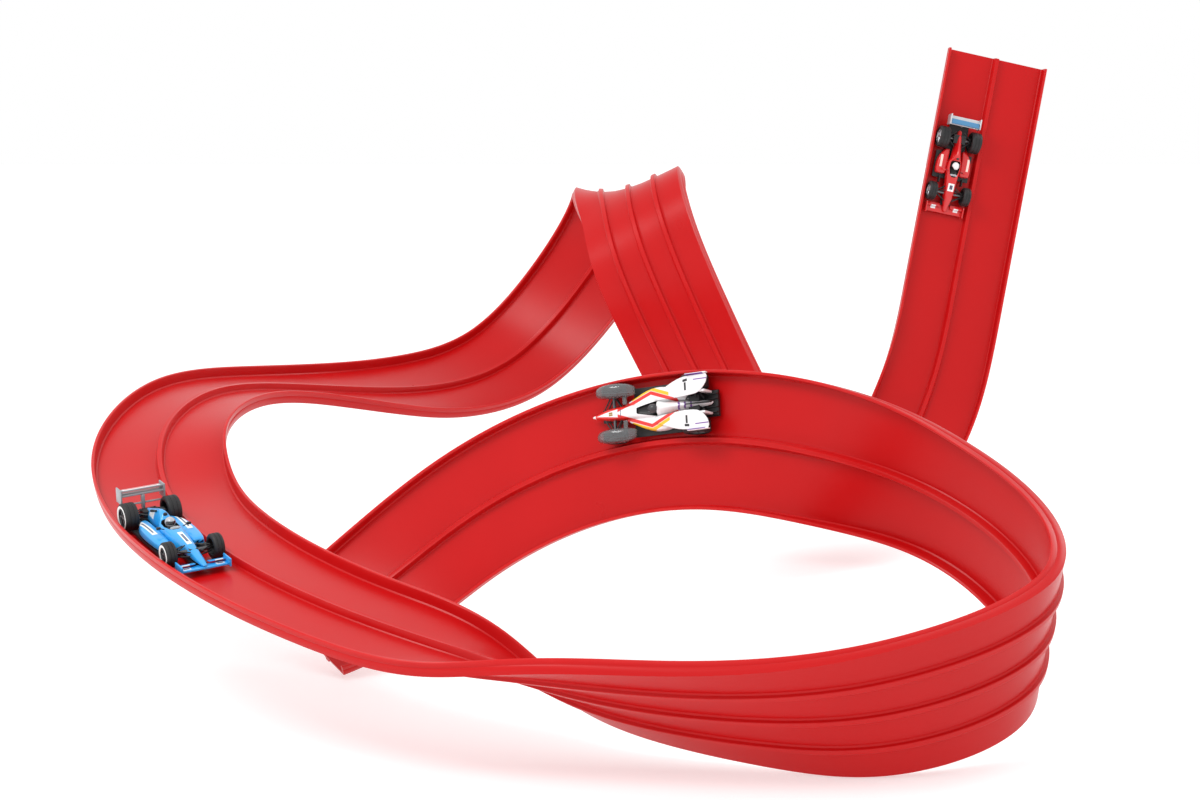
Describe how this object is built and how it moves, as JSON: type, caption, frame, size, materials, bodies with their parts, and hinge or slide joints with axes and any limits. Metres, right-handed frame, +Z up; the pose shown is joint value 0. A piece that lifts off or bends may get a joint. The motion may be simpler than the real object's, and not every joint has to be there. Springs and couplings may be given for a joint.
{
  "type": "toy car track set",
  "caption": "Flexible two-lane toy track ribbon with a steep drop, an upright loop, a banked turn and a crossing, with free rolling open-wheel cars.",
  "frame": {"origin": "centre of the bounding box in plan, on the floor plane that the track stands on", "axes": "+X to the right and +Y away from a person who looks at the banked loop with the drop at the far right, +Z up"},
  "size_m": [0.6837, 0.7715, 0.3958],
  "materials": {
    "track_red": "satin",
    "axle_steel": "brushed",
    "tyre_black": "matte",
    "floor_black": "matte",
    "blue_paint": "gloss",
    "wing_grey": "satin",
    "white_paint": "gloss",
    "pod_smoke": "translucent smoke",
    "red_paint": "gloss",
    "wing_silver": "satin",
    "cockpit_black": "satin",
    "helmet_grey": "gloss",
    "helmet_white": "gloss"
  },
  "bodies": {
    "track": {"launch_drop": "track_red", "drop_curve": "track_red", "valley": "track_red", "valley_exit": "track_red", "loop_rise": "track_red", "loop_crown": "track_red", "loop_fall": "track_red", "left_run": "track_red", "left_bend": "track_red", "left_lane": "track_red", "twist_lane": "track_red", "front_wall": "track_red", "right_end": "track_red", "right_turn": "track_red", "back_bend": "track_red", "back_lane": "track_red", "finish_lane": "track_red"},
    "blue_car": {"blue_shell": "blue_paint", "blue_floor": "floor_black", "blue_driver": "helmet_grey", "blue_nose_wing": "blue_paint", "blue_tail_wing": "wing_grey"},
    "blue_front_wheelset": {"blue_front_axle": "axle_steel", "blue_front_wheels": "tyre_black"},
    "blue_rear_wheelset": {"blue_rear_axle": "axle_steel", "blue_rear_wheels": "tyre_black"},
    "white_car": {"white_shell": "white_paint", "white_floor": "floor_black", "white_driver": "cockpit_black", "white_wheel_pods": "pod_smoke", "white_tail_wings": "white_paint"},
    "white_front_wheelset": {"white_front_axle": "axle_steel", "white_front_wheels": "tyre_black"},
    "white_rear_wheelset": {"white_rear_axle": "axle_steel", "white_rear_wheels": "tyre_black"},
    "red_car": {"red_shell": "red_paint", "red_floor": "floor_black", "red_driver": "helmet_white", "red_nose_wing": "red_paint", "red_tail_wing": "wing_silver"},
    "red_front_wheelset": {"red_front_axle": "axle_steel", "red_front_wheels": "tyre_black"},
    "red_rear_wheelset": {"red_rear_axle": "axle_steel", "red_rear_wheels": "tyre_black"}
  },
  "joints": [
    {"name": "blue_car_travel", "type": "hinge", "parent": "track", "child": "blue_car", "pos_m": [0.03841, 0.00384, 0.07278], "axis": [0.1439, -0.1031, 0.9842], "range_deg": [-0.2, 18]},
    {"name": "blue_front_roll", "type": "hinge", "parent": "blue_car", "child": "blue_front_wheelset", "pos_m": [-0.25135, -0.22019, 0.09635], "axis": [0.8537, 0.5133, 0.0879], "continuous": true},
    {"name": "blue_rear_roll", "type": "hinge", "parent": "blue_car", "child": "blue_rear_wheelset", "pos_m": [-0.2857, -0.16507, 0.10815], "axis": [0.8537, 0.5133, 0.0879], "continuous": true},
    {"name": "white_car_travel", "type": "hinge", "parent": "track", "child": "white_car", "pos_m": [-0.01506, -0.26271, -0.06564], "axis": [-0.4716, -0.6933, 0.545], "range_deg": [-0.3, 23]},
    {"name": "white_front_roll", "type": "hinge", "parent": "white_car", "child": "white_front_wheelset", "pos_m": [-0.0113, -0.10988, 0.15953], "axis": [0.0473, -0.271, -0.9614], "continuous": true},
    {"name": "white_rear_roll", "type": "hinge", "parent": "white_car", "child": "white_rear_wheelset", "pos_m": [0.03705, -0.13638, 0.16938], "axis": [0.0473, -0.271, -0.9614], "continuous": true},
    {"name": "red_car_travel", "type": "slide", "parent": "track", "child": "red_car", "axis": [-0.1867, -0.1333, -0.9733], "range_m": [-0.045, 0.055]},
    {"name": "red_front_roll", "type": "hinge", "parent": "red_car", "child": "red_front_wheelset", "pos_m": [0.25954, 0.35176, 0.2789], "axis": [0.9671, 0.1493, -0.2059], "continuous": true},
    {"name": "red_rear_roll", "type": "hinge", "parent": "red_car", "child": "red_rear_wheelset", "pos_m": [0.26792, 0.35664, 0.32183], "axis": [0.9671, 0.1493, -0.2059], "continuous": true}
  ],
  "couplings": [
    {"joint": "blue_front_roll", "follows": "blue_car_travel", "ratio": 48.766},
    {"joint": "blue_rear_roll", "follows": "blue_car_travel", "ratio": 43.028},
    {"joint": "white_front_roll", "follows": "white_car_travel", "ratio": 36.614},
    {"joint": "white_rear_roll", "follows": "white_car_travel", "ratio": 32.306},
    {"joint": "red_front_roll", "follows": "red_car_travel", "rad_per_m": 133.33},
    {"joint": "red_rear_roll", "follows": "red_car_travel", "rad_per_m": 117.65}
  ]
}
